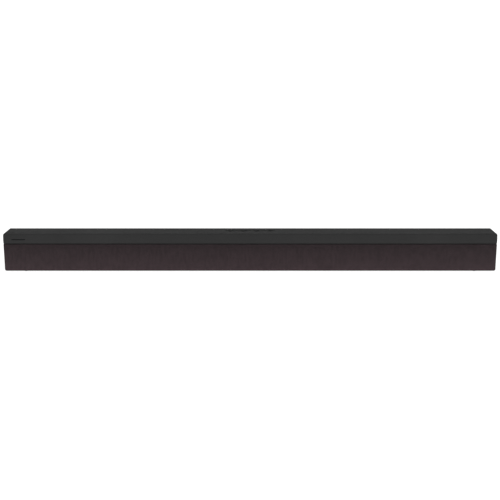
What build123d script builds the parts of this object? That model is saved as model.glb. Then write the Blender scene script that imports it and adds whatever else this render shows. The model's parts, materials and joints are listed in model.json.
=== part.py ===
from build123d import *
import os

# Slim two-channel soundbar: fabric grille, plain top cover, four push buttons on the top,
# two racetrack loudspeakers inside. Millimetres, +X to the listener's right, front at -Y,
# +Z up, origin at table level under the middle of the bar.

os.makedirs("parts", exist_ok=True)

# ---------------------------------------------------------------- driving dimensions
length = 950.0
depth = 56.0
body_height = 73.0
foot_height = 1.5
band_height = 18.6          # plain band of the top cover above the grille
wall = 2.5                  # moulded walls
end_wall = 4.0              # end caps, thick enough for their rounded edge
cloth = 0.6                 # grille cloth
grille_depth = 5.0
seam_gap = 1.4              # shadow gap between grille and band
corner_radius = 2.2         # upright front corners of the grille
bottom_radius = 3.5         # lower corners at the two ends
crown_radius = 46.0         # the band bulges forward in a shallow arc
crown_rise = 5.5            # its foremost line, above the seam
brow_radius = 4.0           # front top edge of the cover
rear_radius = 2.2           # rear top edge of the cover
end_radius = 2.0            # outline of the cover's two ends

button_count = 4
button_pitch = 25.4
button_radius = 3.85
button_y = 4.0
button_rise = 0.5           # cap top above the cover's top face
channel_length = 97.0
channel_width = 11.0
channel_depth = 0.7

window_x = -445.6
window_drop = 10.6          # window centre below the top face
window_length = 26.0
window_height = 2.2

driver_x = 375.0
port_x = 225.0
port_radius = 10.0          # bore of the reflex tubes
insert_x = 300.0            # wall-mount inserts, half their spacing
bay_half = 120.0            # half width of the electronics bay
foot_x = 435.0

# ---------------------------------------------------------------- levels worked out from them
half = length / 2
front = -depth / 2
back = depth / 2
bottom = foot_height
top = bottom + body_height
seam = top - band_height
mouth = front + grille_depth            # front edge of cabinet and end caps
floor = bottom + wall
roof = seam - wall
cabinet_half = half - end_wall
grille_top = seam - seam_gap
baffle_front = mouth + 2.0
baffle_back = baffle_front + 3.0
gasket_back = baffle_back + 1.0
driver_z = (floor + roof) / 2
cover_under = top - wall
insert_z = 44.0
back_inner = back - wall

# screw and peg places, shared by the pieces that meet there
post_places = [(s * x, z) for s in (-1, 1) for x in (111.0, 262.0, 462.0)
               for z in (floor + 3.0, roof - 3.0)]
lid_screw_places = [(s * x, 17.0) for s in (-1, 1) for x in (62.0, 250.0, 450.0)]
peg_places = [(s * x, z) for s in (-1, 1) for x in (30.0, 160.0, 300.0, 445.0)
              for z in (floor + 3.5, roof - 3.5)]
board_screw_places = [(s * 92.0, z) for s in (-1, 1) for z in (driver_z - 17.0, driver_z + 17.0)]
button_places = [(i - (button_count - 1) / 2) * button_pitch for i in range(button_count)]
button_names = ["power_button", "source_button", "volume_down_button", "volume_up_button"]
sides = [("left", -1), ("right", 1)]

pilot_radius = 1.25
shank_radius = 1.2
clear_radius = 1.7
boss_radius = 3.5
play = 0.1                  # round anything that drops into a moulded slot
insert_depth = 10.0
port_flange_radius = 17.0
port_flange = 1.5
peg_radius = 2.0
board_thickness = 1.6
button_board_top = seam + 9.5
button_board_low = button_board_top - board_thickness
button_post_x = 47.5
ribbon_x = 24.0
ribbon_socket_half = 7.0
ribbon_slot_y = (-3.0, 1.0)
window_z = top - window_drop


# ---------------------------------------------------------------- shared shapes
def block(x0, x1, y0, y1, z0, z1, mode=Mode.ADD):
    """A box between two corners, in the open part."""
    with Locations(((x0 + x1) / 2, (y0 + y1) / 2, (z0 + z1) / 2)):
        Box(x1 - x0, y1 - y0, z1 - z0, mode=mode)


def rod(start, direction, radius, reach, mode=Mode.ADD):
    """A round bar or hole from a point along a direction, in the open part."""
    with Locations(Plane(origin=start, z_dir=direction)):
        Cylinder(radius, reach, align=(Align.CENTER, Align.CENTER, Align.MIN), mode=mode)


def upright(x, y, z):
    """A plane parallel to the front, local axes X and Z, its normal pointing at the listener."""
    return Plane(origin=(x, y, z), x_dir=(1, 0, 0), z_dir=(0, -1, 0))


def screw(start, direction, reach, head_radius=2.8, head_height=1.6):
    """A pan-head screw whose head stands on the start point, shank along the direction."""
    axis = Vector(*direction)
    rod(start, direction, shank_radius, reach)
    rod(Vector(*start) - axis * head_height, direction, head_radius, head_height)


def save(piece, label):
    piece.part.label = label
    export_step(piece.part, f"parts/{label}.step")


# ---------------------------------------------------------------- cabinet: floor, roof, bulkheads, posts
connector_half = 58.0
connector_low = driver_z - 16.0
connector_high = driver_z + 16.0
board_front = 5.0
board_back = board_front + board_thickness
lead_z = driver_z - 11.0
lead_y = -13.0
lead_radius = 1.2
lead_hole_radius = 2.6
lip_height = 1.5
post_pilot_front = 14.0     # depth of the pilot holes at the two ends of a post
post_pilot_rear = 12.0

with BuildPart() as cabinet:
    # floor and roof, with a lip that closes the seam gap from behind
    block(-cabinet_half, cabinet_half, mouth, back_inner, bottom, floor)
    block(-cabinet_half, cabinet_half, mouth, back_inner, roof, seam)
    lip_half = half - wall - 0.5
    block(-lip_half, lip_half, front + wall + 0.2, mouth + 4.0, seam, seam + lip_height)
    # bulkheads each side of the electronics, with a hole for the speaker lead
    for s in (-1, 1):
        block(s * bay_half - 1, s * bay_half + 1, gasket_back, back_inner, floor, roof)
        rod((s * bay_half - 2, lead_y + 4.0, lead_z), (1, 0, 0), lead_hole_radius, 4.0, Mode.SUBTRACT)
    # posts between baffle and rear panel, drilled from both ends
    for x, z in post_places:
        rod((x, gasket_back, z), (0, 1, 0), boss_radius, back_inner - gasket_back)
    for x, z in post_places:
        rod((x, gasket_back, z), (0, 1, 0), pilot_radius, post_pilot_front, Mode.SUBTRACT)
        rod((x, back_inner, z), (0, -1, 0), pilot_radius, post_pilot_rear, Mode.SUBTRACT)
    # slot for the ribbon, holes for the lid screws
    block(ribbon_x - ribbon_socket_half, ribbon_x + ribbon_socket_half, *ribbon_slot_y, roof - 1, seam + 1,
          Mode.SUBTRACT)
    for x, y in lid_screw_places:
        rod((x, y, roof - 1), (0, 0, 1), clear_radius, wall + 2, Mode.SUBTRACT)
save(cabinet, "cabinet")

# ---------------------------------------------------------------- rear panels
seat_depth = 1.3
seat_radius = 3.1
tub_wall = 2.0
recess_depth = 6.0
plate_out = back - recess_depth
plate_in = plate_out - 2.0


def screw_seats(places):
    """Screw holes through the rear wall, each with a seat for its head, in the open part."""
    for x, z in places:
        rod((x, back_inner - 1, z), (0, 1, 0), clear_radius, wall + 2, Mode.SUBTRACT)
        rod((x, back - seat_depth, z), (0, 1, 0), seat_radius, seat_depth + 1, Mode.SUBTRACT)


for side, s in sides:
    with BuildPart() as rear_panel:
        inner, outer = s * bay_half, s * cabinet_half
        block(min(inner, outer), max(inner, outer), back_inner, back, bottom, seam)
        # boss for the wall-mount insert
        rod((s * insert_x, back - insert_depth, insert_z), (0, 1, 0), 5.5, insert_depth - wall)
        rod((s * insert_x, back - insert_depth, insert_z), (0, 1, 0), 3.3, insert_depth + 2, Mode.SUBTRACT)
        # port hole with a seat for the flange
        rod((s * port_x, back_inner - 1, driver_z), (0, 1, 0), port_radius + 1.6, wall + 2, Mode.SUBTRACT)
        rod((s * port_x, back - port_flange, driver_z), (0, 1, 0), port_flange_radius + 0.2, 2 * port_flange,
            Mode.SUBTRACT)
        screw_seats([place for place in post_places if s * place[0] > bay_half])
    save(rear_panel, f"rear_panel_{side}")

with BuildPart() as connector_panel:
    block(-bay_half, bay_half, back_inner, back, bottom, seam)
    # posts for the main board
    for x, z in board_screw_places:
        rod((x, board_back, z), (0, 1, 0), boss_radius, back_inner - board_back)
        rod((x, board_back, z), (0, 1, 0), pilot_radius, 10.0, Mode.SUBTRACT)
    screw_seats([place for place in post_places if abs(place[0]) < bay_half])
    # recess for the sockets: four walls round an open window
    block(-connector_half, connector_half, plate_in, back, connector_low, connector_high)
    block(-connector_half + tub_wall, connector_half - tub_wall, plate_in - 1, back + 1,
          connector_low + tub_wall, connector_high - tub_wall, Mode.SUBTRACT)
save(connector_panel, "connector_panel")

# ---------------------------------------------------------------- end caps
for side, s in sides:
    with BuildPart() as end_cap:
        block(min(s * cabinet_half, s * half), max(s * cabinet_half, s * half), mouth, back, bottom, seam)
        outer = end_cap.edges().filter_by(Axis.Y).sort_by(Axis.X)
        outer = outer[-2:] if s > 0 else outer[:2]
        fillet(outer.sort_by(Axis.Z)[0], radius=bottom_radius)
        rear = end_cap.faces().sort_by(Axis.Y)[-1].edges().filter_by(Axis.Z).sort_by(Axis.X)
        fillet(rear[-1] if s > 0 else rear[0], radius=end_radius)
        # spigot that keys into the open end of the cabinet
        inner = s * cabinet_half
        reach = s * (cabinet_half - 2.0)
        block(min(inner, reach), max(inner, reach), gasket_back + 1, back_inner, floor, roof)
        block(min(inner, reach), max(inner, reach), gasket_back + 3, back_inner - 2,
              floor + 2, roof - 2, Mode.SUBTRACT)
    save(end_cap, f"end_cap_{side}")

# ---------------------------------------------------------------- front baffle and its gasket
flange_length = 124.0
flange_height = 46.0
driver_screw_places = [(sx * 56.5, sz * 18.0) for sx in (-1, 1) for sz in (-1, 1)]
basket_length = 106.0
basket_height = 38.6

with BuildPart() as front_baffle:
    block(-cabinet_half, cabinet_half, baffle_front, baffle_back, floor, roof)
    for s in (-1, 1):
        with BuildSketch(upright(s * driver_x, baffle_front - 1, driver_z)):
            SlotOverall(basket_length + 1, basket_height + 1)
        extrude(amount=-5, mode=Mode.SUBTRACT)
        for dx, dz in driver_screw_places:
            rod((s * driver_x + dx, baffle_front - 1, driver_z + dz), (0, 1, 0), pilot_radius, 5,
                Mode.SUBTRACT)
    for x, z in post_places:
        rod((x, baffle_front - 1, z), (0, 1, 0), clear_radius, 5, Mode.SUBTRACT)
    for x, z in peg_places:
        rod((x, baffle_front - 1, z), (0, 1, 0), peg_radius + play, 5, Mode.SUBTRACT)
save(front_baffle, "front_baffle")

with BuildPart() as baffle_gasket:
    block(-cabinet_half, cabinet_half, baffle_back, gasket_back, floor, roof)
    for x0, x1 in ((-cabinet_half + 2, -bay_half - 1), (-bay_half + 1, bay_half - 1),
                   (bay_half + 1, cabinet_half - 2)):
        block(x0, x1, baffle_back, gasket_back, floor + 2, roof - 2, Mode.SUBTRACT)
    for x, z in post_places:
        rod((x, baffle_back - 1, z), (0, 1, 0), clear_radius, 3, Mode.SUBTRACT)
save(baffle_gasket, "baffle_gasket")

# ---------------------------------------------------------------- top cover
def band_front(z):
    """The band's front face at a height: an arc in section, foremost a little above the seam."""
    return front + crown_radius - (crown_radius ** 2 - (z - seam - crown_rise) ** 2) ** 0.5


with BuildPart() as top_cover:
    with BuildSketch(Plane.YZ.offset(-half)):
        with BuildLine():
            ThreePointArc((band_front(seam), seam), (front, seam + crown_rise), (band_front(top), top))
            Polyline((band_front(top), top), (back, top), (back, seam), (band_front(seam), seam))
        make_face()
    extrude(amount=length)
    ridges = top_cover.edges().filter_by(Axis.X).group_by(Axis.Z)[-1].sort_by(Axis.Y)
    fillet(ridges[0], radius=brow_radius)
    ridges = top_cover.edges().filter_by(Axis.X).group_by(Axis.Z)[-1].sort_by(Axis.Y)
    fillet(ridges[-1], radius=rear_radius)
    ends = top_cover.faces().sort_by(Axis.X)
    outlines = ends[0].edges().sort_by(Axis.Z)[1:] + ends[-1].edges().sort_by(Axis.Z)[1:]
    fillet(outlines, radius=end_radius)
    block(-half + wall, half - wall, front + wall, back - wall, seam, cover_under, Mode.SUBTRACT)
    # bosses for the lid screws, posts for the button board, ribs that hold the status board
    for x, y in lid_screw_places:
        rod((x, y, seam), (0, 0, 1), boss_radius, cover_under - seam)
    for s in (-1, 1):
        rod((s * button_post_x, button_y, button_board_top), (0, 0, 1), 3.0, cover_under - button_board_top)
        rib_x = window_x + s * 16
        block(rib_x - 1, rib_x + 1, front + wall, front + 11.0, seam + 2, cover_under)
    for x, y in lid_screw_places:
        rod((x, y, seam), (0, 0, 1), pilot_radius, 12.0, Mode.SUBTRACT)
    for s in (-1, 1):
        rod((s * button_post_x, button_y, button_board_top), (0, 0, 1), pilot_radius, 5.0, Mode.SUBTRACT)
    # shallow channel with the four button holes
    with BuildSketch(Plane.XY.offset(top)):
        with Locations((0, button_y)):
            SlotOverall(channel_length, channel_width)
    extrude(amount=-channel_depth, mode=Mode.SUBTRACT)
    for x in button_places:
        rod((x, button_y, cover_under - 1), (0, 0, 1), button_radius + 0.35, wall + 2, Mode.SUBTRACT)
    # slot for the status window
    block(window_x - window_length / 2 - play, window_x + window_length / 2 + play,
          front - 1, front + wall + 1,
          window_z - window_height / 2 - play, window_z + window_height / 2 + play, Mode.SUBTRACT)
save(top_cover, "top_cover")

with BuildPart() as status_window:
    block(window_x - window_length / 2, window_x + window_length / 2, band_front(window_z), front + wall,
          window_z - window_height / 2, window_z + window_height / 2)
    block(window_x - window_length / 2 - 1.5, window_x + window_length / 2 + 1.5,
          front + wall, front + wall + 1.0, window_z - 2.5, window_z + 2.5)
save(status_window, "status_window")


# ---------------------------------------------------------------- grille
def grille_form(inset):
    """The grille's outer form, drawn in by an inset, in the open part."""
    block(-half + inset, half - inset, front + inset, mouth, bottom + inset, grille_top - inset)


def round_grille(piece, inset):
    """Rounds the lower corners, then the front edge except along the seam."""
    corners = piece.edges().filter_by(Axis.Y).group_by(Axis.Z)[0]
    fillet(corners, radius=bottom_radius - inset)
    outline = piece.faces().sort_by(Axis.Y)[0].edges().sort_by(Axis.Z)
    fillet(outline[:-1], radius=corner_radius - inset)


with BuildPart() as frame_outer:
    grille_form(cloth)
    round_grille(frame_outer, cloth)

rail = 2.5
lattice_back = front + cloth + 2.4
window_low = floor + 6.0
window_high = roof - 6.0
middle_windows = 11
window_pitch = 56.0

with BuildPart() as grille_frame:
    add(frame_outer.part)
    block(-half + cloth + rail, half - cloth - rail, lattice_back, mouth,
          bottom + cloth + rail, grille_top - cloth - rail, Mode.SUBTRACT)
    for i in range(middle_windows):
        x = (i - (middle_windows - 1) / 2) * window_pitch
        block(x - 24.5, x + 24.5, front, mouth, window_low, window_high, Mode.SUBTRACT)
    for s in (-1, 1):
        block(s * driver_x - 56, s * driver_x + 56, front, mouth, window_low, window_high, Mode.SUBTRACT)
        block(s * 452.0 - 12, s * 452.0 + 12, front, mouth, window_low, window_high, Mode.SUBTRACT)
    for x, z in peg_places:
        rod((x, lattice_back - 1, z), (0, 1, 0), peg_radius, baffle_back - 0.5 - lattice_back + 1)
save(grille_frame, "grille_frame")

with BuildPart() as grille_cloth:
    grille_form(0)
    round_grille(grille_cloth, 0)
    add(frame_outer.part, mode=Mode.SUBTRACT)
save(grille_cloth, "grille_cloth")

# ---------------------------------------------------------------- reflex ports
tube_length = 38.0
for side, s in sides:
    with BuildPart() as port:
        rod((s * port_x, back - tube_length, driver_z), (0, 1, 0), port_radius + 1.5, tube_length)
        rod((s * port_x, back - port_flange, driver_z), (0, 1, 0), port_flange_radius, port_flange)
        rod((s * port_x, back - tube_length, driver_z), (0, 1, 0), port_radius, tube_length, Mode.SUBTRACT)
        mouth_edge = port.faces().sort_by(Axis.Y)[-1].edges().sort_by(SortBy.LENGTH)[0]
        fillet(mouth_edge, radius=1.2)
    save(port, f"port_{side}")

# ---------------------------------------------------------------- feet
foot_width = 4.5
foot_length = 16.0
for place, foot_y in (("front", mouth + 0.5 + foot_length / 2), ("rear", back - 3.0 - foot_length / 2)):
    with BuildPart() as feet:
        for s in (-1, 1):
            block(s * foot_x - foot_width / 2, s * foot_x + foot_width / 2,
                  foot_y - foot_length / 2, foot_y + foot_length / 2, 0, foot_height)
        fillet(feet.edges().filter_by(Axis.Z), radius=1.2)
        fillet(feet.faces().group_by(Axis.Z)[0].edges(), radius=0.5)
    save(feet, f"{place}_feet")

# ---------------------------------------------------------------- wall-mount inserts, damping pads
insert_bore = 2.15
with BuildPart() as wall_inserts:
    for s in (-1, 1):
        rod((s * insert_x, back - insert_depth, insert_z), (0, 1, 0), 3.25, insert_depth)
        rod((s * insert_x, back - insert_depth, insert_z), (0, 1, 0), insert_bore, insert_depth,
            Mode.SUBTRACT)
save(wall_inserts, "wall_inserts")

with BuildPart() as damping_pads:
    for s in (-1, 1):
        block(s * 155.0 - 25, s * 155.0 + 25, -6.0, back_inner - 0.5, floor + 0.5, roof - 6.0)
    fillet(damping_pads.edges().filter_by(Axis.X), radius=5.0)
save(damping_pads, "damping_pads")

# ---------------------------------------------------------------- main board and what it carries
board_half = 100.0
board_low = driver_z - 21.5
board_high = driver_z + 21.5
chip_x = -44.0

with BuildPart() as main_board:
    block(-board_half, board_half, board_front, board_back, board_low, board_high)
    for x, z in board_screw_places:
        rod((x, board_front - 1, z), (0, 1, 0), clear_radius, 4, Mode.SUBTRACT)
save(main_board, "main_board")

with BuildPart() as amplifier_chip:
    block(chip_x - 7, chip_x + 7, board_front - 1.6, board_front, driver_z - 7, driver_z + 7)
save(amplifier_chip, "amplifier_chip")

with BuildPart() as heat_sink:
    sink_back = board_front - 1.6
    block(chip_x - 28, chip_x + 28, sink_back - 3, sink_back, driver_z - 18, driver_z + 18)
    for i in range(9):
        fin_x = chip_x - 26.8 + i * 6.7
        block(fin_x - 0.8, fin_x + 0.8, sink_back - 14, sink_back - 3, driver_z - 18, driver_z + 18)
save(heat_sink, "heat_sink")

with BuildPart() as board_parts:
    # smoothing capacitors
    for x in (0.0, 14.0):
        for z in (driver_z - 12, driver_z + 2):
            rod((x, board_front, z), (0, -1, 0), 5.0, 14.0)
    # output filter coils
    for x in (34.0, 50.0):
        for z in (driver_z - 14, driver_z + 1):
            block(x - 6, x + 6, board_front - 7, board_front, z - 6, z + 6)
    # terminal blocks of the speaker leads, and the ribbon socket
    for s in (-1, 1):
        block(s * 84.0 - 5, s * 84.0 + 5, board_front - 8, board_front, lead_z - 4, lead_z + 4)
    block(ribbon_x - ribbon_socket_half, ribbon_x + ribbon_socket_half, board_front - 3, board_front,
          board_high - 6, board_high - 1.5)
save(board_parts, "board_parts")

with BuildPart() as wireless_module:
    block(66.0, 90.0, board_front - 1.0, board_front, driver_z - 2, driver_z + 12)
    block(72.0, 88.0, board_front - 3.0, board_front - 1.0, driver_z, driver_z + 10)
save(wireless_module, "wireless_module")

# ---------------------------------------------------------------- connector plate and its sockets
socket_out = plate_out + 0.3
socket_z = driver_z
power_x = 42.0
hdmi_x = 20.0
optical_x = 0.0
usb_x = -20.0
aux_x = -40.0

with BuildPart() as connector_plate:
    block(-connector_half + tub_wall, connector_half - tub_wall, plate_in, plate_out,
          connector_low + tub_wall, connector_high - tub_wall)
    for x, width, height in ((power_x, 11.0, 11.0), (hdmi_x, 16.0, 6.6), (optical_x, 10.4, 10.4),
                             (usb_x, 15.0, 7.6), (aux_x, 9.0, 9.0)):
        block(x - width / 2 - play, x + width / 2 + play, plate_in - 1, plate_out + 1,
              socket_z - height / 2 - play, socket_z + height / 2 + play, Mode.SUBTRACT)
save(connector_plate, "connector_plate")

with BuildPart() as power_jack:
    block(power_x - 5.5, power_x + 5.5, board_back, socket_out, socket_z - 5.5, socket_z + 5.5)
    rod((power_x, socket_out, socket_z), (0, -1, 0), 3.2, 10.0, Mode.SUBTRACT)
    rod((power_x, socket_out - 1.0, socket_z), (0, -1, 0), 1.0, 9.5)
save(power_jack, "power_jack")


def shell_socket(x, width, height, skin, tongue_width, tongue_height):
    """A stamped shell socket with a tongue inside, in the open part."""
    block(x - width / 2, x + width / 2, board_back, socket_out, socket_z - height / 2, socket_z + height / 2)
    block(x - width / 2 + skin, x + width / 2 - skin, socket_out - 12, socket_out,
          socket_z - height / 2 + skin, socket_z + height / 2 - skin, Mode.SUBTRACT)
    block(x - tongue_width / 2, x + tongue_width / 2, socket_out - 12.5, socket_out - 1.5,
          socket_z - tongue_height / 2, socket_z + tongue_height / 2)


with BuildPart() as hdmi_socket:
    shell_socket(hdmi_x, 16.0, 6.6, 0.8, 11.0, 1.4)
    outer_low = hdmi_socket.edges().filter_by(Axis.Y).group_by(Axis.Z)[0]
    chamfer(outer_low, length=1.0)
save(hdmi_socket, "hdmi_socket")

with BuildPart() as usb_socket:
    shell_socket(usb_x, 15.0, 7.6, 0.8, 11.0, 1.8)
save(usb_socket, "usb_socket")

with BuildPart() as optical_socket:
    block(optical_x - 5.2, optical_x + 5.2, board_back, socket_out, socket_z - 5.2, socket_z + 5.2)
    block(optical_x - 4.0, optical_x + 4.0, socket_out - 9, socket_out, socket_z - 4.0, socket_z + 4.0,
          Mode.SUBTRACT)
    rod((optical_x, socket_out - 9.5, socket_z), (0, 1, 0), 1.2, 5.0)
save(optical_socket, "optical_socket")

aux_bore = 1.8
aux_reach = 14.0
with BuildPart() as aux_jack:
    block(aux_x - 4.5, aux_x + 4.5, board_back, plate_out, socket_z - 4.5, socket_z + 4.5)
    rod((aux_x, plate_out, socket_z), (0, 1, 0), 3.6, 0.3)
    rod((aux_x, socket_out - aux_reach, socket_z), (0, 1, 0), aux_bore, aux_reach, Mode.SUBTRACT)
save(aux_jack, "aux_jack")

# ---------------------------------------------------------------- buttons on the top
cap_top = top + button_rise
flange_top = cover_under - 0.3
flange_low = flange_top - 0.8
dome_height = 0.5

for name, x in zip(button_names, button_places):
    with BuildPart() as cap:
        rod((x, button_y, flange_low), (0, 0, 1), button_radius, cap_top - flange_low)
        fillet(cap.faces().sort_by(Axis.Z)[-1].edges(), radius=0.5)
        rod((x, button_y, flange_low), (0, 0, 1), button_radius + 1.3, flange_top - flange_low)
        rod((x, button_y, button_board_top + dome_height + 0.1), (0, 0, 1), 1.25,
            flange_low - button_board_top - dome_height)
    save(cap, name)

with BuildPart() as button_board:
    block(-52.0, 52.0, button_y - 7.5, button_y + 7.5, button_board_low, button_board_top)
    # ribbon socket under the board
    block(ribbon_x - ribbon_socket_half, ribbon_x + ribbon_socket_half, *ribbon_slot_y,
          button_board_low - 1.5, button_board_low)
    for s in (-1, 1):
        rod((s * button_post_x, button_y, button_board_low - 1), (0, 0, 1), clear_radius, 4, Mode.SUBTRACT)
save(button_board, "button_board")

with BuildPart() as snap_domes:
    for x in button_places:
        with Locations((x, button_y, button_board_top)):
            Cone(3.0, 1.6, dome_height, align=(Align.CENTER, Align.CENTER, Align.MIN))
save(snap_domes, "snap_domes")

# ---------------------------------------------------------------- status board behind the window
status_front = front + wall + 4.0
status_back = status_front + board_thickness
with BuildPart() as status_board:
    block(window_x - 15, window_x + 15, status_front, status_back, window_z - 6, window_z + 6)
    # light-emitting diode soldered on
    block(window_x - 8, window_x - 5, status_front - 1.6, status_front, window_z - 1, window_z + 1)
    rod((window_x - 6.5, status_front - 1.6, window_z), (0, -1, 0), 0.9, 0.8)
save(status_board, "status_board")

with BuildPart() as ir_receiver:
    block(window_x + 3, window_x + 8, status_front - 2.0, status_front, window_z - 2.5, window_z + 2.5)
    rod((window_x + 5.5, status_front - 2.0, window_z), (0, -1, 0), 1.6, 0.7)
save(ir_receiver, "ir_receiver")


# ---------------------------------------------------------------- leads
def round_lead(points, bend, radius):
    """A round lead along straight runs joined by arcs, in the open part."""
    with BuildLine() as line:
        FilletPolyline(*points, radius=bend)
    route = line.wires()[0]
    with BuildSketch(Plane(origin=route @ 0, z_dir=route % 0)) as section:
        Circle(radius)
    sweep(sections=section.sketch, path=route)


for side, s in sides:
    with BuildPart() as speaker_lead:
        round_lead([(s * 89.0, board_front - 4.0, lead_z), (s * 102.0, board_front - 4.0, lead_z),
                    (s * 112.0, lead_y + 4.0, lead_z), (s * 128.0, lead_y + 4.0, lead_z),
                    (s * 150.0, lead_y, lead_z), (s * 305.0, lead_y, lead_z),
                    (s * 312.0, lead_y, driver_z), (s * 316.0, lead_y, driver_z)], 1.8, lead_radius)
    save(speaker_lead, f"speaker_lead_{side}")

with BuildPart() as status_lead:
    round_lead([(window_x + 6, status_back, window_z - 2), (window_x + 6, status_front + 8, window_z - 2),
                (window_x + 24, -9.0, seam + 4.5), (-72.0, -9.0, seam + 4.5),
                (-43.0, -1.0, seam + 4.5), (-43.0, -1.0, button_board_low)], 2.5, 0.8)
save(status_lead, "status_lead")

with BuildPart() as button_ribbon:
    with BuildSketch(Plane.YZ.offset(ribbon_x - 5)):
        with BuildLine():
            FilletPolyline((-1.0, button_board_low - 1.5), (-1.0, roof - 1.0),
                           (board_front - 1.5, board_high + 2.0), (board_front - 1.5, board_high - 1.5),
                           radius=1.5)
        trace(line_width=0.5)
    extrude(amount=10)
save(button_ribbon, "button_ribbon")

# ---------------------------------------------------------------- loudspeakers
flange_front = baffle_front - 2.0
shelf_front = flange_front + 13.5
plate_front = shelf_front + 1.5
spider_front = shelf_front - 4.0
diaphragm_depth = 5.0
former_radius = 10.0
pole_radius = 9.0
gap_radius = 11.2
motor_radius = 19.0

for side, s in sides:
    x = s * driver_x

    with BuildPart() as basket:
        with BuildSketch(upright(x, flange_front, driver_z)):
            RectangleRounded(flange_length, flange_height, 8.0)
            SlotOverall(100.0, 34.0, mode=Mode.SUBTRACT)
            with Locations(*driver_screw_places):
                Circle(clear_radius, mode=Mode.SUBTRACT)
        extrude(amount=-2.0)
        with BuildSketch(upright(x, flange_front + 2.0, driver_z)):
            SlotOverall(basket_length, basket_height)
            SlotOverall(basket_length - 3, basket_height - 3, mode=Mode.SUBTRACT)
        extrude(amount=-(shelf_front - flange_front - 2.0))
        with BuildSketch(upright(x, shelf_front, driver_z)):
            SlotOverall(basket_length, basket_height)
            Circle(12.0, mode=Mode.SUBTRACT)
        extrude(amount=-1.5)
        with BuildSketch(upright(x, spider_front + 0.5, driver_z)):
            Circle(17.7)
            Circle(16.2, mode=Mode.SUBTRACT)
        extrude(amount=-3.5)
        # vents through the long walls
        for dx in (-34.0, 34.0):
            block(x + dx - 9, x + dx + 9, flange_front + 4.5, shelf_front - 1.5,
                  driver_z - 25, driver_z + 25, Mode.SUBTRACT)
        # terminal tab
        end_x = x - s * basket_length / 2
        block(min(end_x + s, end_x - s * 6), max(end_x + s, end_x - s * 6), lead_y - 1.5, lead_y + 1.5,
              driver_z - 3, driver_z + 3)
    save(basket, f"driver_basket_{side}")

    with BuildPart() as surround:
        with BuildSketch(upright(x, flange_front, driver_z)):
            SlotOverall(105.0, 39.0)
            SlotOverall(88.0, 22.0, mode=Mode.SUBTRACT)
        extrude(amount=0.5)
        with BuildSketch(upright(x, flange_front, driver_z)):
            SlotOverall(99.0, 33.0)
            SlotOverall(91.5, 25.5, mode=Mode.SUBTRACT)
        extrude(amount=1.9)
        rolls = surround.faces().sort_by(Axis.Y)[0].edges()
        fillet(rolls, radius=1.2)
        with BuildSketch(upright(x, flange_front, driver_z)):
            SlotOverall(97.8, 31.8)
            SlotOverall(92.7, 26.7, mode=Mode.SUBTRACT)
        extrude(amount=1.3, mode=Mode.SUBTRACT)
    save(surround, f"surround_{side}")

    with BuildPart() as diaphragm:
        with BuildSketch(upright(x, flange_front, driver_z)):
            SlotOverall(90.0, 24.0)
        extrude(amount=-diaphragm_depth, taper=30)
        with BuildSketch(upright(x, flange_front, driver_z)):
            SlotOverall(88.0, 22.0)
        extrude(amount=-(diaphragm_depth - 1.0), taper=30, mode=Mode.SUBTRACT)
        # domed dust cap
        with BuildSketch(Plane(origin=(x, 0, driver_z), x_dir=(0, -1, 0), z_dir=(0, 0, 1))) as dome_profile:
            with BuildLine():
                floor_y = -(flange_front + diaphragm_depth - 1.0)
                rim_y = floor_y - 0.5
                crown_y = floor_y + 2.2
                ThreePointArc((rim_y, 7.5), (crown_y, 0), (rim_y, -7.5))
                Line((rim_y, -7.5), (rim_y, 7.5))
            make_face()
            split(bisect_by=Plane.XZ)
        revolve(axis=Axis((x, 0, driver_z), (0, 1, 0)))
    save(diaphragm, f"diaphragm_{side}")

    with BuildPart() as voice_coil:
        former_front = flange_front + diaphragm_depth
        rod((x, former_front, driver_z), (0, 1, 0), former_radius, 15.0)
        rod((x, plate_front - 1.0, driver_z), (0, 1, 0), former_radius + 0.6, 6.0)
        rod((x, former_front, driver_z), (0, 1, 0), former_radius - 0.5, 16.0, Mode.SUBTRACT)
    save(voice_coil, f"voice_coil_{side}")

    with BuildPart() as spider:
        with BuildSketch(upright(x, spider_front, driver_z)):
            Circle(17.2)
            Circle(former_radius + 0.15, mode=Mode.SUBTRACT)
        extrude(amount=-0.5)
        for ridge in (12.0, 14.5):
            with BuildSketch(upright(x, spider_front, driver_z)):
                Circle(ridge + 0.6)
                Circle(ridge - 0.6, mode=Mode.SUBTRACT)
            extrude(amount=0.6)
    save(spider, f"spider_{side}")

    with BuildPart() as magnet:
        rod((x, plate_front + 4.0, driver_z), (0, 1, 0), 20.0, 10.0)
        rod((x, plate_front + 4.0, driver_z), (0, 1, 0), 12.5, 10.0, Mode.SUBTRACT)
    save(magnet, f"magnet_{side}")

    with BuildPart() as pole_pieces:
        rod((x, plate_front, driver_z), (0, 1, 0), motor_radius, 4.0)
        rod((x, plate_front, driver_z), (0, 1, 0), gap_radius, 4.0, Mode.SUBTRACT)
        rod((x, plate_front + 14.0, driver_z), (0, 1, 0), motor_radius, 4.0)
        rod((x, plate_front, driver_z), (0, 1, 0), pole_radius, 14.0)
    save(pole_pieces, f"pole_pieces_{side}")

# ---------------------------------------------------------------- screws
with BuildPart() as baffle_screws:
    for x, z in post_places:
        screw((x, baffle_front, z), (0, 1, 0), 14.0)
save(baffle_screws, "baffle_screws")

with BuildPart() as rear_screws:
    for x, z in post_places:
        screw((x, back - seat_depth, z), (0, -1, 0), 10.0, head_height=1.2)
save(rear_screws, "rear_screws")

with BuildPart() as lid_screws:
    for x, y in lid_screw_places:
        screw((x, y, roof), (0, 0, 1), 13.0)
save(lid_screws, "lid_screws")

with BuildPart() as driver_screws:
    for s in (-1, 1):
        for dx, dz in driver_screw_places:
            screw((s * driver_x + dx, flange_front, driver_z + dz), (0, 1, 0), 6.0)
save(driver_screws, "driver_screws")

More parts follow.
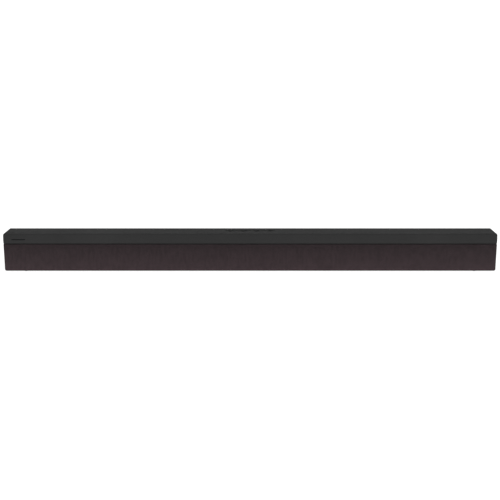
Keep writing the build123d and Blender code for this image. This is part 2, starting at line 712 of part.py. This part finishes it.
with BuildPart() as board_screws:
    for x, z in board_screw_places:
        screw((x, board_front, z), (0, 1, 0), 9.0)
    for s in (-1, 1):
        screw((s * button_post_x, button_y, button_board_low), (0, 0, 1), 6.0)
save(board_screws, "board_screws")
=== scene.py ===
import json
import math

import bmesh
import bpy
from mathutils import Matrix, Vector, noise


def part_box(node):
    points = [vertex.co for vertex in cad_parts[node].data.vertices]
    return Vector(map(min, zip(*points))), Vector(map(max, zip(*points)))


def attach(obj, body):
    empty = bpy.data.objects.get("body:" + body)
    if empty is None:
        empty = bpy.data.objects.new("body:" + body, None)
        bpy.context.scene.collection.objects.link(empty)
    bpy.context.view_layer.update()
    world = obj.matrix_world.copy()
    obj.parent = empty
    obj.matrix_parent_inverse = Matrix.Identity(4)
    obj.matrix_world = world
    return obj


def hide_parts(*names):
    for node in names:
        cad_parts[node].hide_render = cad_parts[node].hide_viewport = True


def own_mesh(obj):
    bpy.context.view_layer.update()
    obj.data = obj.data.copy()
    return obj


# Looks of a slim soundbar: knitted grille cloth, grained plastic cover, four dished buttons.
# Metres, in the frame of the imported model: +X to the listener's right, grille towards -Y, +Z up.
# Pattern scales are in features per metre, and bump distances are in metres.

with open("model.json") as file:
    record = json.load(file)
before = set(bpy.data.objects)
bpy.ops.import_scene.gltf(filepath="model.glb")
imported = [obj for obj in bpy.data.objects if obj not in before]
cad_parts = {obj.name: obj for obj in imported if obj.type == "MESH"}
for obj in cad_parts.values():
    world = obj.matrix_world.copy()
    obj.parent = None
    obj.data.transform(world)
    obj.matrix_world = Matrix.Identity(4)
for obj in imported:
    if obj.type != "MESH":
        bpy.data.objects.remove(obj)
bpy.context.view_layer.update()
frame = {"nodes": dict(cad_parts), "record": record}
NODES = frame["nodes"]
MM = 0.001


# ---------------------------------------------------------------- colours and node recipes
def linear(red, green, blue):
    """A display colour, 0 to 255, as linear light with alpha."""
    def one(value):
        value /= 255
        return value / 12.92 if value <= 0.04045 else ((value + 0.055) / 1.055) ** 2.4
    return (one(red), one(green), one(blue), 1.0)


class Recipe:
    """A node material built up step by step. Patterns run on object coordinates, in metres."""

    def __init__(self, name, **surface):
        self.material = bpy.data.materials.new(name)
        self.material.use_nodes = True
        self.tree = self.material.node_tree
        self.shader = self.tree.nodes["Principled BSDF"]
        self.place = self.tree.nodes.new("ShaderNodeTexCoord").outputs["Object"]
        for socket, value in surface.items():
            self.shader.inputs[socket.replace("_", " ")].default_value = value

    def node(self, kind, **settings):
        made = self.tree.nodes.new(kind)
        for setting, value in settings.items():
            setattr(made, setting, value)
        return made

    def feed(self, socket, value):
        if isinstance(value, bpy.types.NodeSocket):
            self.tree.links.new(value, socket)
        else:
            socket.default_value = value

    def maths(self, operation, first, second=0.5, third=0.5):
        made = self.node("ShaderNodeMath", operation=operation)
        for socket, value in zip(made.inputs, (first, second, third)):
            self.feed(socket, value)
        return made.outputs[0]

    def noise(self, scale, detail=2.0, roughness=0.5, stretch=(1, 1, 1)):
        """Soft random pattern from 0 to 1; scale is in features per metre."""
        spread = self.node("ShaderNodeMapping")
        spread.inputs["Scale"].default_value = stretch
        self.feed(spread.inputs["Vector"], self.place)
        made = self.node("ShaderNodeTexNoise")
        self.feed(made.inputs["Vector"], spread.outputs[0])
        made.inputs["Scale"].default_value = scale
        made.inputs["Detail"].default_value = detail
        made.inputs["Roughness"].default_value = roughness
        return made.outputs["Fac"]

    def cells(self, scale):
        """Small random cells, as in a spark-eroded mould."""
        made = self.node("ShaderNodeTexVoronoi", feature="SMOOTH_F1")
        self.feed(made.inputs["Vector"], self.place)
        made.inputs["Scale"].default_value = scale
        return made.outputs["Distance"]

    def span(self, value, low, high, to_low, to_high):
        made = self.node("ShaderNodeMapRange")
        for socket, number in zip(made.inputs, (value, low, high, to_low, to_high)):
            self.feed(socket, number)
        return made.outputs[0]

    def mix(self, factor, first, second):
        made = self.node("ShaderNodeMix", data_type="RGBA")
        self.feed(made.inputs["Factor"], factor)
        self.feed(made.inputs["A"], first)
        self.feed(made.inputs["B"], second)
        return made.outputs["Result"]

    def bump(self, height, distance, strength=1.0, under=None):
        made = self.node("ShaderNodeBump")
        made.inputs["Strength"].default_value = strength
        made.inputs["Distance"].default_value = distance
        self.feed(made.inputs["Height"], height)
        if under is not None:
            self.feed(made.inputs["Normal"], under)
        return made.outputs[0]

    def paint(self, colour, roughness, normal=None):
        self.feed(self.shader.inputs["Base Color"], colour)
        self.feed(self.shader.inputs["Roughness"], roughness)
        if normal is not None:
            self.feed(self.shader.inputs["Normal"], normal)
        return self.material


def moulded(name, shade, lighter, roughness, grain=2600.0, depth=0.00006, gloss=0.1):
    """Moulded plastic with a fine spark-eroded grain and faint handling marks."""
    r = Recipe(name, Specular_IOR_Level=gloss)
    cloud = r.noise(9.0, 3.0)
    speck = r.noise(grain * 0.8, 2.0, 0.6)
    blend = r.maths("MULTIPLY_ADD", speck, 0.55, r.maths("MULTIPLY", cloud, 0.45))
    colour = r.mix(r.span(blend, 0.3, 0.7, 0.0, 1.0), shade, lighter)
    smear = r.noise(26.0, 4.0, 0.6, stretch=(0.35, 1, 1))
    rough = r.span(smear, 0.3, 0.7, roughness - 0.05, roughness + 0.06)
    relief = r.bump(r.cells(grain), depth, 0.55)
    relief = r.bump(r.noise(420.0, 2.0), 0.00003, 0.3, under=relief)
    return r.paint(colour, rough, relief)


def knitted(name, dark, yarn, bright):
    """Warp-knit loudspeaker cloth: rows of small stitches with melange yarn and open holes. It is painted
    paler towards the bottom, as painted bounce light from the floor.
    """
    r = Recipe(name, Specular_IOR_Level=0.12)
    r.shader.inputs["Sheen Weight"].default_value = 0.08
    r.shader.inputs["Sheen Roughness"].default_value = 0.45
    axes = r.node("ShaderNodeSeparateXYZ")
    r.feed(axes.inputs[0], r.place)
    x, y, z = axes.outputs
    wale, course = 1.15 * MM, 0.95 * MM      # one stitch across and one stitch up
    bounce_fill_bottom, bounce_fill_top = 0.44, 0.04         # painted light: how far yarn colour fills the holes, at the bottom and the top; the bottom is painted paler, as bounce light from the floor
    across = r.maths("DIVIDE", r.maths("ADD", x, y), wale)
    along = r.maths("DIVIDE", r.maths("SUBTRACT", z, y), course)
    fold = r.maths("ABSOLUTE", r.maths("SUBTRACT", r.maths("FRACT", across), 0.5))
    wobble = r.maths("MULTIPLY", r.noise(700.0, 2.0), 0.35)
    turn = r.maths("MULTIPLY", r.maths("ADD", r.maths("ADD", along, fold), wobble), 2 * math.pi)
    row = r.span(r.maths("SINE", turn), -1, 1, 0, 1)
    rib = r.maths("ABSOLUTE", r.maths("SINE", r.maths("MULTIPLY", across, 2 * math.pi)))
    loop = r.maths("MULTIPLY", row, r.maths("POWER", rib, 0.6))
    fibre = r.noise(5200.0, 2.0, 0.7)
    melange = r.noise(1500.0, 3.0, 0.65, stretch=(1, 1, 0.4))
    patch = r.noise(34.0, 3.0, 0.55)
    thread = r.mix(r.span(melange, 0.36, 0.64, 0, 1), yarn, bright)
    thread = r.mix(r.span(patch, 0.3, 0.7, 0.0, 0.25), thread, yarn)
    slub = r.noise(240.0, 3.0, 0.6, stretch=(1, 1, 0.3))
    thread = r.mix(r.span(slub, 0.42, 0.62, 0.0, 0.2), thread, dark)
    low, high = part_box("grille_cloth")
    # Painted light: the share of yarn colour rises towards the bottom. This stands in for bounce light from
    # the floor and is not a change in the knit.
    painted_bounce_light = r.span(z, low.z, high.z, bounce_fill_bottom, bounce_fill_top)
    shown = r.maths("ADD", r.span(loop, 0.08, 0.6, 0, 0.62), painted_bounce_light)
    colour = r.mix(r.maths("MINIMUM", shown, 1.0), dark, thread)
    rough = r.span(fibre, 0.3, 0.7, 0.78, 0.95)
    relief = r.bump(loop, 0.0004, 0.9)
    relief = r.bump(fibre, 0.00006, 0.6, under=relief)
    return r.paint(colour, rough, relief)


def rubbery(name, shade, lighter):
    r = Recipe(name, Specular_IOR_Level=0.3)
    colour = r.mix(r.span(r.noise(180.0, 4.0, 0.65), 0.35, 0.7, 0, 1), shade, lighter)
    rough = r.span(r.noise(90.0, 3.0), 0.3, 0.7, 0.72, 0.88)
    return r.paint(colour, rough, r.bump(r.noise(2400.0, 3.0), 0.00005, 0.5))


def metallic(name, shade, lighter, roughness, brushed=(1, 1, 1)):
    r = Recipe(name, Metallic=1.0)
    streak = r.noise(900.0, 3.0, 0.6, stretch=brushed)
    colour = r.mix(r.span(streak, 0.3, 0.7, 0, 1), shade, lighter)
    rough = r.span(r.noise(60.0, 3.0), 0.3, 0.7, roughness - 0.06, roughness + 0.08)
    return r.paint(colour, rough, r.bump(streak, 0.00002, 0.35))


def smoked(name):
    """Smoked plastic, polished, with a trace of dust."""
    r = Recipe(name, Specular_IOR_Level=0.12)
    dust = r.span(r.noise(1600.0, 3.0, 0.7), 0.55, 0.75, 0, 0.5)
    colour = r.mix(dust, linear(10, 10, 11), linear(30, 30, 31))
    rough = r.span(r.noise(300.0, 3.0), 0.3, 0.7, 0.16, 0.28)
    return r.paint(colour, rough, r.bump(r.noise(500.0, 1.0), 0.00001, 0.2))


def circuit(name):
    """Green solder mask over fine copper tracks."""
    r = Recipe(name, Specular_IOR_Level=0.5)
    tracks = r.node("ShaderNodeTexBrick", offset=0.37, squash=0.6)
    r.feed(tracks.inputs["Vector"], r.place)
    tracks.inputs["Scale"].default_value = 160.0
    tracks.inputs["Mortar Size"].default_value = 0.06
    tracks.inputs["Color1"].default_value = linear(12, 74, 44)
    tracks.inputs["Color2"].default_value = linear(16, 88, 52)
    tracks.inputs["Mortar"].default_value = linear(52, 116, 66)
    fleck = r.span(r.noise(700.0, 2.0), 0.62, 0.66, 0, 0.8)
    colour = r.mix(fleck, tracks.outputs["Color"], linear(172, 172, 160))
    rough = r.span(r.noise(200.0), 0.3, 0.7, 0.32, 0.46)
    return r.paint(colour, rough, r.bump(tracks.outputs["Fac"], 0.00004, 0.5))


def fibrous(name, shade, lighter, scale=420.0, depth=0.0004):
    """Wadding, pulp or resin-dipped cotton: short matted fibres."""
    r = Recipe(name, Specular_IOR_Level=0.2)
    mat = r.noise(scale, 5.0, 0.72)
    colour = r.mix(r.span(mat, 0.3, 0.7, 0, 1), shade, lighter)
    return r.paint(colour, r.span(mat, 0.2, 0.8, 0.8, 0.98), r.bump(mat, depth, 0.7))


def wound(name):
    """Enamelled copper wire, turn beside turn."""
    r = Recipe(name, Metallic=0.7)
    bands = r.node("ShaderNodeTexWave", wave_type="BANDS", bands_direction="Y")
    r.feed(bands.inputs["Vector"], r.place)
    bands.inputs["Scale"].default_value = 900.0
    bands.inputs["Distortion"].default_value = 0.4
    colour = r.mix(bands.outputs["Fac"], linear(96, 44, 20), linear(198, 104, 52))
    rough = r.span(r.noise(400.0), 0.3, 0.7, 0.26, 0.4)
    return r.paint(colour, rough, r.bump(bands.outputs["Fac"], 0.00008, 0.7))


def make_materials():
    return {
        "cover": moulded("cover_plastic", linear(42, 42, 42), linear(50, 50, 50), 0.8, gloss=0.04),
        "cabinet": moulded("cabinet_plastic", linear(32, 32, 33), linear(41, 41, 41), 0.64,
                           1900.0, 0.0001, 0.2),
        "end_cap": moulded("end_cap_plastic", linear(33, 33, 34), linear(42, 42, 42), 0.66, gloss=0.18),
        "baffle": moulded("baffle_plastic", linear(34, 34, 34), linear(44, 44, 44), 0.66),
        "grille_frame": moulded("grille_frame_plastic", linear(22, 21, 22), linear(32, 31, 32), 0.7),
        "grille_cloth": knitted("grille_knit", linear(13, 11, 12), linear(59, 47, 50), linear(84, 69, 73)),
        "port": moulded("port_plastic", linear(26, 26, 27), linear(38, 38, 38), 0.46, gloss=0.3),
        "connector_plate": moulded("connector_plastic", linear(28, 28, 29), linear(38, 38, 38), 0.5,
                                   gloss=0.4),
        "button": moulded("button_plastic", linear(5, 5, 6), linear(11, 11, 12), 0.6, 3600.0, 0.00003, 0.03),
        "basket": moulded("basket_plastic", linear(30, 30, 31), linear(44, 44, 44), 0.5, gloss=0.3),
        "socket_plastic": moulded("socket_nylon", linear(16, 16, 17), linear(28, 28, 29), 0.42,
                                  3200.0, 0.00003, 0.4),
        "chip": moulded("epoxy_package", linear(22, 22, 24), linear(34, 34, 36), 0.5, 3200.0, 0.00003, 0.3),
        "board_parts": moulded("component_sleeves", linear(26, 30, 54), linear(44, 50, 78), 0.36,
                               2600.0, 0.00003, 0.4),
        "window": smoked("smoked_window"),
        "foot": rubbery("foot_rubber", linear(26, 26, 26), linear(42, 41, 40)),
        "surround": rubbery("surround_rubber", linear(22, 22, 22), linear(36, 36, 36)),
        "lead": rubbery("lead_sleeve", linear(24, 24, 25), linear(40, 40, 40)),
        "foam": fibrous("foam_strip", linear(34, 34, 35), linear(58, 58, 58), 900.0, 0.0002),
        "wadding": fibrous("polyester_wadding", linear(190, 188, 180), linear(232, 230, 224)),
        "diaphragm": fibrous("coated_pulp", linear(44, 44, 46), linear(70, 70, 72), 700.0, 0.0001),
        "spider": fibrous("resin_cotton", linear(150, 116, 54), linear(196, 158, 88), 1500.0, 0.0001),
        "voice_coil": wound("copper_winding"),
        "magnet": metallic("ferrite", linear(48, 48, 50), linear(70, 70, 72), 0.55),
        "motor_steel": metallic("zinc_steel", linear(150, 152, 156), linear(186, 188, 190), 0.34),
        "screw": metallic("black_zinc", linear(44, 44, 46), linear(72, 72, 74), 0.38),
        "brass": metallic("turned_brass", linear(178, 138, 70), linear(216, 178, 104), 0.3, (1, 6, 1)),
        "socket_shell": metallic("tinned_shell", linear(168, 168, 170), linear(206, 206, 208), 0.3,
                                 (1, 0.2, 1)),
        "module_can": metallic("shield_can", linear(172, 172, 172), linear(210, 210, 210), 0.32),
        "heat_sink": metallic("extruded_aluminium", linear(168, 170, 174), linear(208, 210, 214), 0.36,
                              (1, 1, 0.1)),
        "spring_steel": metallic("spring_steel", linear(182, 182, 178), linear(216, 216, 212), 0.24),
        "ribbon": moulded("flat_cable", linear(176, 178, 182), linear(206, 208, 210), 0.4,
                          2600.0, 0.00002, 0.4),
        "circuit_board": circuit("circuit_board"),
    }


def dress(materials):
    """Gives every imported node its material."""
    for part in frame["record"]["subparts"]:
        thing = NODES[part["node"]]
        thing.data.materials.clear()
        thing.data.materials.append(materials[part["material_slot"]])


# ---------------------------------------------------------------- mesh helpers
def mesh_piece(name, points, faces, material):
    data = bpy.data.meshes.new(name)
    data.from_pydata(points, [], faces)
    data.materials.append(material)
    data.validate()
    made = bpy.data.objects.new(name, data)
    bpy.context.scene.collection.objects.link(made)
    return made


def face_outward(piece):
    work = bmesh.new()
    work.from_mesh(piece.data)
    bmesh.ops.recalc_face_normals(work, faces=work.faces)
    work.to_mesh(piece.data)
    work.free()


def smooth(piece, angle=40):
    for face in piece.data.polygons:
        face.use_smooth = True
    piece.data.set_sharp_from_angle(angle=math.radians(angle))


def turned(name, profile, centre, material, steps=96):
    """A turned piece about an upright axis, from a profile of (radius, height) that starts on the axis."""
    points = []
    faces = []
    rings = []
    for radius, height in profile:
        if radius == 0:
            rings.append([len(points)])
            points.append((centre[0], centre[1], height))
            continue
        rings.append(list(range(len(points), len(points) + steps)))
        for i in range(steps):
            turn = 2 * math.pi * i / steps
            points.append((centre[0] + radius * math.cos(turn), centre[1] + radius * math.sin(turn), height))
    for lower, upper in zip(rings, rings[1:]):
        for i in range(steps):
            j = (i + 1) % steps
            corners = [lower[i % len(lower)], lower[j % len(lower)],
                       upper[j % len(upper)], upper[i % len(upper)]]
            faces.append(list(dict.fromkeys(corners)))
    piece = mesh_piece(name, points, faces, material)
    face_outward(piece)
    smooth(piece)
    return piece


def loose_parts(node):
    """The boxes of a node's separate solids."""
    data = NODES[node].data
    parent = list(range(len(data.vertices)))

    def root(i):
        while parent[i] != i:
            parent[i] = parent[parent[i]]
            i = parent[i]
        return i

    first_at = {}
    for vertex in data.vertices:
        spot = tuple(round(c, 6) for c in vertex.co)
        parent[root(vertex.index)] = root(first_at.setdefault(spot, vertex.index))
    for edge in data.edges:
        parent[root(edge.vertices[0])] = root(edge.vertices[1])
    groups = {}
    for vertex in data.vertices:
        groups.setdefault(root(vertex.index), []).append(NODES[node].matrix_world @ vertex.co)
    return [(Vector([min(axis) for axis in zip(*group)]), Vector([max(axis) for axis in zip(*group)]))
            for group in groups.values()]


# ---------------------------------------------------------------- grille cloth
EDGE = 2.2 * MM             # rounding of the cloth over the frame's front edge
TOP_EDGE = 1.0 * MM         # tighter where it tucks in under the band
CORNER = 3.5 * MM           # lower corners, seen from the front
CLOTH_THICKNESS = 0.5 * MM
CORNER_STEPS = 10
EDGE_STEPS = 8
LONG_SIDE_STEPS = 120
SHORT_SIDE_STEPS = 8


def grille_outline(low, high):
    """Points and outward directions round the grille, seen from the front, counter-clockwise."""
    corners = [(low.x + CORNER, low.z + CORNER, CORNER, 180), (high.x - CORNER, low.z + CORNER, CORNER, 270),
               (high.x - TOP_EDGE, high.z - TOP_EDGE, TOP_EDGE, 0),
               (low.x + TOP_EDGE, high.z - TOP_EDGE, TOP_EDGE, 90)]
    outline = []
    for n, (x, z, radius, start) in enumerate(corners):
        for i in range(CORNER_STEPS + 1):
            turn = math.radians(start + 90 * i / CORNER_STEPS)
            out = (math.cos(turn), math.sin(turn))
            outline.append((x + radius * out[0], z + radius * out[1], out))
        # straight stretch to the next corner, in short steps along the length
        nx, nz, next_radius, next_start = corners[(n + 1) % 4]
        turn = math.radians(next_start)
        target = (nx + next_radius * math.cos(turn), nz + next_radius * math.sin(turn))
        here = outline[-1]
        steps = LONG_SIDE_STEPS if n % 2 == 0 else SHORT_SIDE_STEPS
        for i in range(1, steps):
            t = i / steps
            between = [a + (b - a) * t for a, b in zip(here, target)]
            outline.append((between[0], between[1], here[2]))
    return outline


def make_cloth(material):
    low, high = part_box("grille_cloth")
    outline = grille_outline(low, high)
    rings = []
    points = []
    # rings from the flat front, over the rounded edge, to the back of the return
    for k in range(EDGE_STEPS + 2):
        turn = math.radians(90 * min(k, EDGE_STEPS) / EDGE_STEPS)
        ring = []
        for x, z, out in outline:
            tuck = max(0.0, out[1])
            radius = EDGE + (TOP_EDGE - EDGE) * tuck
            draw_in = radius * (1 - math.sin(turn))
            y = low.y + radius * (1 - math.cos(turn)) if k <= EDGE_STEPS else high.y
            ring.append(len(points))
            points.append((x - out[0] * draw_in, y, z - out[1] * draw_in))
        rings.append(ring)
    count = len(outline)
    faces = [list(reversed(rings[0]))]
    for inner, outer in zip(rings, rings[1:]):
        for i in range(count):
            j = (i + 1) % count
            faces.append([inner[i], inner[j], outer[j], outer[i]])
    cloth = mesh_piece("grille_knit_cloth", points, faces, material)
    face_outward(cloth)
    smooth(cloth, 60)
    skin = cloth.modifiers.new("thickness", "SOLIDIFY")
    skin.thickness = CLOTH_THICKNESS
    skin.offset = -1
    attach(cloth, "housing")
    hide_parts("grille_cloth")


# ---------------------------------------------------------------- push buttons
BUTTONS = ("power_button", "source_button", "volume_down_button", "volume_up_button")


def make_button(node, material):
    """A push button with a dished top, soft rim, retaining flange and stem."""
    low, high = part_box(node)
    centre = ((low.x + high.x) / 2, (low.y + high.y) / 2)
    flange = (high.x - low.x) / 2
    flange_width = 1.3 * MM
    flange_low = high.z - 4.1 * MM
    flange_top = flange_low + 0.8 * MM
    cap = flange - flange_width
    stem = 1.25 * MM
    rim = 0.5 * MM
    land = cap - rim - 0.25 * MM
    dish = 0.25 * MM
    steps = 8
    profile = [(0, low.z), (stem, low.z), (stem, flange_low), (flange, flange_low), (flange, flange_top),
               (cap, flange_top)]
    for i in range(steps + 1):
        turn = math.radians(90 * i / steps)
        profile.append((cap - rim + rim * math.cos(turn), high.z - rim + rim * math.sin(turn)))
    for i in range(steps + 1):
        t = 1 - i / steps
        profile.append((land * t, high.z - dish * (1 - t * t) ** 1.5))
    piece = turned(node + "_cap", profile, centre, material)
    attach(piece, node + "_body")
    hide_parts(node)


# ---------------------------------------------------------------- snap domes
DOME_STEPS = [i / 12 for i in range(13)]
DOME_GAUGE = 0.08 * MM


def make_snap_domes(material):
    """A sprung steel dome under each button."""
    for low, high in loose_parts("snap_domes"):
        centre = ((low.x + high.x) / 2, (low.y + high.y) / 2)
        radius, rise, gauge = (high.x - low.x) / 2, high.z - low.z, DOME_GAUGE
        outer = [(radius * t, low.z + rise * (1 - t ** 2)) for t in DOME_STEPS]
        inner = [((radius - gauge) * t, low.z + (rise - gauge) * (1 - t ** 2)) for t in reversed(DOME_STEPS)]
        button = min(BUTTONS, key=lambda name: abs(sum(c.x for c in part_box(name)) / 2 - centre[0]))
        dome = turned(button + "_dome", outer + inner, centre, material, 48)
        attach(dome, "housing")
        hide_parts("snap_domes")
        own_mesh(dome)


# ---------------------------------------------------------------- damping pads
WADDING_CUTS = 27
SQUARENESS = 6              # a ball at 2, a block as it grows
LUMP_DEPTH = 0.05           # share of the half size
LUMP_SCALE = 3.5


def make_wadding(material):
    """Two blocks of polyester wadding, torn from a mat: soft corners and an uneven face."""
    blocks = sorted(loose_parts("damping_pads"), key=lambda block: block[0].x)
    for side, (low, high) in zip(("left", "right"), blocks):
        centre, half_size = (low + high) / 2, (high - low) / 2
        work = bmesh.new()
        bmesh.ops.create_cube(work, size=2)
        bmesh.ops.subdivide_edges(work, edges=work.edges[:], cuts=WADDING_CUTS, use_grid_fill=True)
        for vertex in work.verts:
            spot = vertex.co / sum(abs(c) ** SQUARENESS for c in vertex.co) ** (1 / SQUARENESS)
            lump = noise.fractal(spot * LUMP_SCALE + centre, 1.0, 2.0, 4)
            spot *= 1 - LUMP_DEPTH + LUMP_DEPTH * max(-1.0, min(1.0, lump))
            vertex.co = centre + Vector([a * b for a, b in zip(spot, half_size)])
        data = bpy.data.meshes.new("wadding")
        work.to_mesh(data)
        work.free()
        data.materials.append(material)
        pad = bpy.data.objects.new("wadding_pad_" + side, data)
        bpy.context.scene.collection.objects.link(pad)
        smooth(pad, 80)
        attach(pad, "housing")
        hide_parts("damping_pads")


# ---------------------------------------------------------------- rear screws
def make_rear_screws(material):
    """Pan-head screws in the rear panels, each with a domed head and a cross recess."""
    steps, dome_steps = 64, 25
    head_height, shank = 1.2 * MM, 1.2 * MM
    arm, reach, sink = 0.42 * MM, 1.7 * MM, 0.7 * MM      # of the cross recess
    dome = 0.75 * head_height
    turn_between = 0.7                                    # each screw stopped at its own angle
    points = []
    faces = []
    for n, (low, high) in enumerate(loose_parts("rear_screws")):
        x, z = (low.x + high.x) / 2, (low.z + high.z) / 2
        head = (high.x - low.x) / 2
        twist = turn_between * n
        # rings from the tip of the shank, over the rim, to the middle of the head
        under_head = high.y - head_height
        tip = 0.3 * shank
        profile = [(tip, low.y), (shank, low.y + shank), (shank, under_head), (head, under_head)]
        for i in range(dome_steps):
            t = 1 - i / dome_steps
            profile.append((head * t, high.y - dome * t ** 4))
        start = len(points)
        for radius, y in profile:
            for i in range(steps):
                turn = 2 * math.pi * i / steps
                u, v = abs(radius * math.cos(turn)), abs(radius * math.sin(turn))
                in_cross = y > under_head and min(u, v) < arm and max(u, v) < reach
                across, up = radius * math.cos(turn + twist), radius * math.sin(turn + twist)
                points.append((x + across, y - sink if in_cross else y, z + up))
        last = len(profile) - 1
        for k in range(last):
            for i in range(steps):
                j = (i + 1) % steps
                faces.append([start + k * steps + i, start + k * steps + j,
                              start + (k + 1) * steps + j, start + (k + 1) * steps + i])
        faces.append([start + i for i in range(steps)])
        faces.append([start + last * steps + i for i in range(steps)])
    screws = mesh_piece("rear_screws_crosshead", points, faces, material)
    face_outward(screws)
    smooth(screws, 35)
    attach(screws, "housing")
    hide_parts("rear_screws")


# ---------------------------------------------------------------- floor, light and camera
def make_floor():
    """A pale round floor that turns up into a wall far from the bar, on every side.
    It glows softly, as paper lit from all round does, so the bar throws no shadow line."""
    flat, bend, wall_top, steps = 3.4, 1.0, 3.0, 12
    profile = [(0, 0.0), (flat, 0.0)]
    for i in range(1, steps + 1):
        turn = math.radians(90 * i / steps)
        profile.append((flat + bend * math.sin(turn), bend - bend * math.cos(turn)))
    profile.append((flat + bend, wall_top))
    r = Recipe("pale_paper", Specular_IOR_Level=0.1, Emission_Color=(1, 1, 1, 1), Emission_Strength=0.9)
    shade, lighter = (0.28, 0.28, 0.28, 1), (0.32, 0.32, 0.32, 1)
    r.paint(r.mix(r.noise(1.5), shade, lighter), 0.95)
    turned("floor_sweep", profile, (0, 0), r.material)


def aim(thing, target):
    thing.rotation_euler = (Vector(target) - thing.location).to_track_quat("-Z", "Y").to_euler()


def make_light(name, place, target, size, power):
    data = bpy.data.lights.new(name, "AREA")
    data.shape = "RECTANGLE"
    data.size, data.size_y = size
    data.energy = power
    lamp = bpy.data.objects.new(name, data)
    lamp.location = place
    bpy.context.scene.collection.objects.link(lamp)
    aim(lamp, target)


def make_world(strength):
    world = bpy.data.worlds.new("studio")
    bpy.context.scene.world = world
    world.use_nodes = True
    back = world.node_tree.nodes["Background"]
    back.inputs["Color"].default_value = (1, 1, 1, 1)
    back.inputs["Strength"].default_value = strength


def make_camera(lens, distance, pitch, target):
    """A camera straight in front of the bar, looking down on the target by pitch degrees."""
    data = bpy.data.cameras.new("camera")
    data.sensor_width = 36.0
    data.lens = lens
    data.clip_start, data.clip_end = 0.05, 40.0
    camera = bpy.data.objects.new("camera", data)
    bpy.context.scene.collection.objects.link(camera)
    pitch = math.radians(pitch)
    camera.location = Vector(target) + distance * Vector((0, -math.cos(pitch), math.sin(pitch)))
    camera.rotation_euler = (math.pi / 2 - pitch, 0, 0)
    bpy.context.scene.camera = camera


MATERIALS = make_materials()
dress(MATERIALS)
make_cloth(MATERIALS["grille_cloth"])
for button in BUTTONS:
    make_button(button, MATERIALS["button"])
make_snap_domes(MATERIALS["spring_steel"])
make_wadding(MATERIALS["wadding"])
make_rear_screws(MATERIALS["screw"])
make_floor()
make_world(strength=0.72)
make_light("overhead", place=(0, -0.3, 2.4), target=(0, 0, 0), size=(4.0, 2.2), power=3.6)
make_light("front", place=(0, -3.0, 1.5), target=(0, 0, 0.03), size=(3.5, 1.5), power=14)
make_camera(lens=66.91, distance=1.8179, pitch=13.5, target=(-0.0004, 0, 0.0366))
bpy.context.scene.view_settings.view_transform = "Standard"
